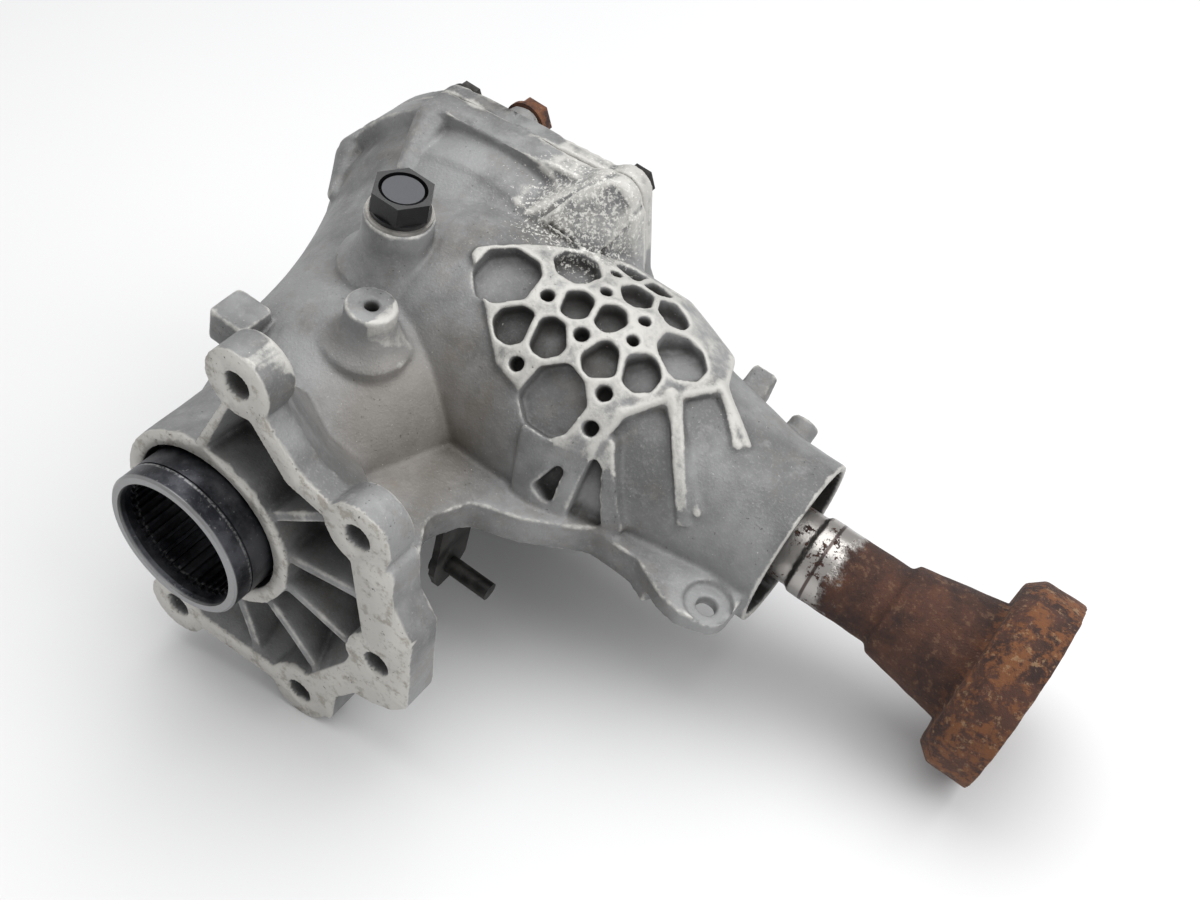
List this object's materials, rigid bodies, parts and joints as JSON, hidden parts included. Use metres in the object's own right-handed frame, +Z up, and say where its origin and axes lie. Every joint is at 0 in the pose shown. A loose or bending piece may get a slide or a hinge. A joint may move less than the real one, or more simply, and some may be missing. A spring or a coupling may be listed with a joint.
{
  "type": "transfer case",
  "caption": "Angle-drive transfer case: cast housing with a dished gearbox flange, hollow input shaft, hypoid-style gears, ribbed output nose and a bolted output flange.",
  "frame": {"origin": "on the input axis, in the plane of the gearbox bolt face", "axes": "+Y along the input axis from the gearbox into the unit, +Z up as the unit lies on a floor, +X towards the output flange; the output axis points 14.6 degrees below +X"},
  "size_m": [0.3917, 0.233, 0.1938],
  "materials": {
    "cast_alloy": "weathered die-cast aluminium, matt, blotched grey",
    "cover_alloy": "weathered die-cast aluminium with salt corrosion",
    "zinc_bolt": "dull plated steel",
    "rusty_bolt": "rusted steel",
    "black_plug": "black phosphated steel, slightly glossy",
    "plug_insert": "dark grey moulded insert",
    "seal_rubber": "black oil-resistant rubber",
    "copper_washer": "dulled crush washer",
    "bracket_steel": "black-coated pressed steel",
    "sleeve_steel": "blackened hardened steel, oily",
    "shaft_steel": "machined steel",
    "gear_steel": "ground alloy steel",
    "bearing_steel": "polished bearing steel",
    "cage_steel": "pressed steel",
    "rusty_flange": "bare forged steel, rusted brown"
  },
  "bodies": {
    "housing": {"main_housing": "cast_alloy", "side_cover": "cover_alloy", "cover_bolts": "zinc_bolt", "cover_boss_bolt": "rusty_bolt", "cover_o_ring": "seal_rubber", "input_seal": "seal_rubber", "cover_seal": "seal_rubber", "output_seal": "seal_rubber", "filler_plug": "black_plug", "filler_plug_insert": "plug_insert", "filler_plug_washer": "copper_washer", "drain_plug": "zinc_bolt", "drain_washer": "copper_washer", "bracket": "bracket_steel", "bracket_stud": "bracket_steel", "bracket_bolt": "zinc_bolt", "dowels": "shaft_steel", "input_bearing_cup": "bearing_steel", "cover_bearing_cup": "bearing_steel", "head_bearing_cup": "bearing_steel", "tail_bearing_cup": "bearing_steel"},
    "input_shaft": {"hollow_shaft": "shaft_steel", "coupling_sleeve": "sleeve_steel", "snap_ring": "shaft_steel", "ring_gear": "gear_steel", "ring_gear_bolts": "zinc_bolt", "input_bearing_cone": "bearing_steel", "cover_bearing_cone": "bearing_steel"},
    "output_shaft": {"pinion_shaft": "gear_steel", "collapsible_spacer": "shaft_steel", "output_flange": "rusty_flange", "flange_washer": "zinc_bolt", "flange_nut": "zinc_bolt", "head_bearing_cone": "bearing_steel", "tail_bearing_cone": "bearing_steel"},
    "input_bearing_roller_set": {"input_bearing_rollers": "bearing_steel", "input_bearing_cage": "cage_steel"},
    "cover_bearing_roller_set": {"cover_bearing_rollers": "bearing_steel", "cover_bearing_cage": "cage_steel"},
    "head_bearing_roller_set": {"head_bearing_rollers": "bearing_steel", "head_bearing_cage": "cage_steel"},
    "tail_bearing_roller_set": {"tail_bearing_rollers": "bearing_steel", "tail_bearing_cage": "cage_steel"}
  },
  "joints": [
    {"name": "input_spin", "type": "hinge", "parent": "housing", "child": "input_shaft", "pos_m": [0, 0.1, 0], "axis": [0, 1, 0], "continuous": true},
    {"name": "output_spin", "type": "hinge", "parent": "housing", "child": "output_shaft", "pos_m": [0.11633, 0.1389, -0.00963], "axis": [0.9677, 0, -0.2521], "continuous": true},
    {"name": "input_bearing_roll", "type": "hinge", "parent": "housing", "child": "input_bearing_roller_set", "pos_m": [0, 0.0705, 0], "axis": [0, 1, 0], "continuous": true},
    {"name": "cover_bearing_roll", "type": "hinge", "parent": "housing", "child": "cover_bearing_roller_set", "pos_m": [0, 0.192, 0], "axis": [0, 1, 0], "continuous": true},
    {"name": "head_bearing_roll", "type": "hinge", "parent": "housing", "child": "head_bearing_roller_set", "pos_m": [0.08875, 0.1389, -0.00245], "axis": [0.9677, 0, -0.2521], "continuous": true},
    {"name": "tail_bearing_roll", "type": "hinge", "parent": "housing", "child": "tail_bearing_roller_set", "pos_m": [0.14246, 0.1389, -0.01644], "axis": [0.9677, 0, -0.2521], "continuous": true}
  ],
  "couplings": [
    {"joint": "output_spin", "follows": "input_spin", "ratio": -2.6154},
    {"joint": "input_bearing_roll", "follows": "input_spin", "ratio": 0.44318},
    {"joint": "cover_bearing_roll", "follows": "input_spin", "ratio": 0.44378},
    {"joint": "head_bearing_roll", "follows": "input_spin", "ratio": -1.084},
    {"joint": "tail_bearing_roll", "follows": "input_spin", "ratio": -1.0771}
  ]
}
